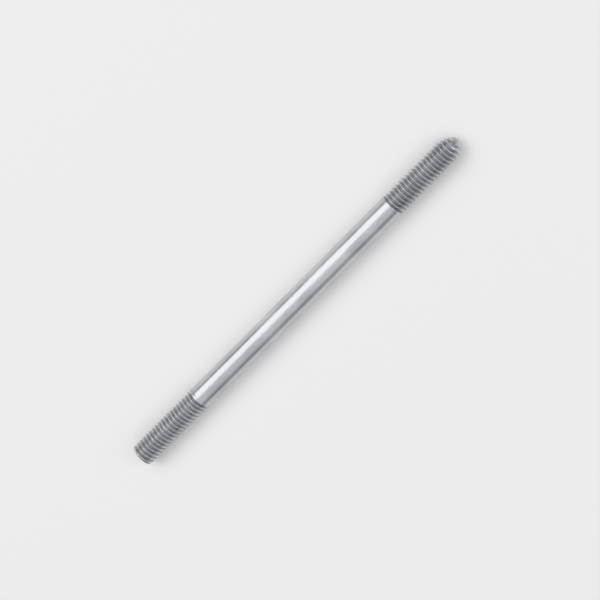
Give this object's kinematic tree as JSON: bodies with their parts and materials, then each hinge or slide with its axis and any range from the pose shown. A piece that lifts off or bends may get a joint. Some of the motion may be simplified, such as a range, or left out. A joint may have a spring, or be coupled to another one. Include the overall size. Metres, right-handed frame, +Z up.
{
  "type": "threaded rod",
  "caption": "Round steel rod with a plain shank and a right-hand thread on each end, cut square at the base and bullet-nosed at the tip.",
  "frame": {"origin": "centre of the square end's face, on the rod's axis, where the base thread starts", "axes": "+X along the rod from the square end to the tip of the nose, +Z up, +Y across"},
  "size_m": [0.146, 0.0078, 0.0078],
  "materials": {
    "zinc_plated_steel": "bright zinc plating, satin on the shank"
  },
  "bodies": {
    "root": {"threaded_rod": "zinc_plated_steel"}
  },
  "joints": []
}
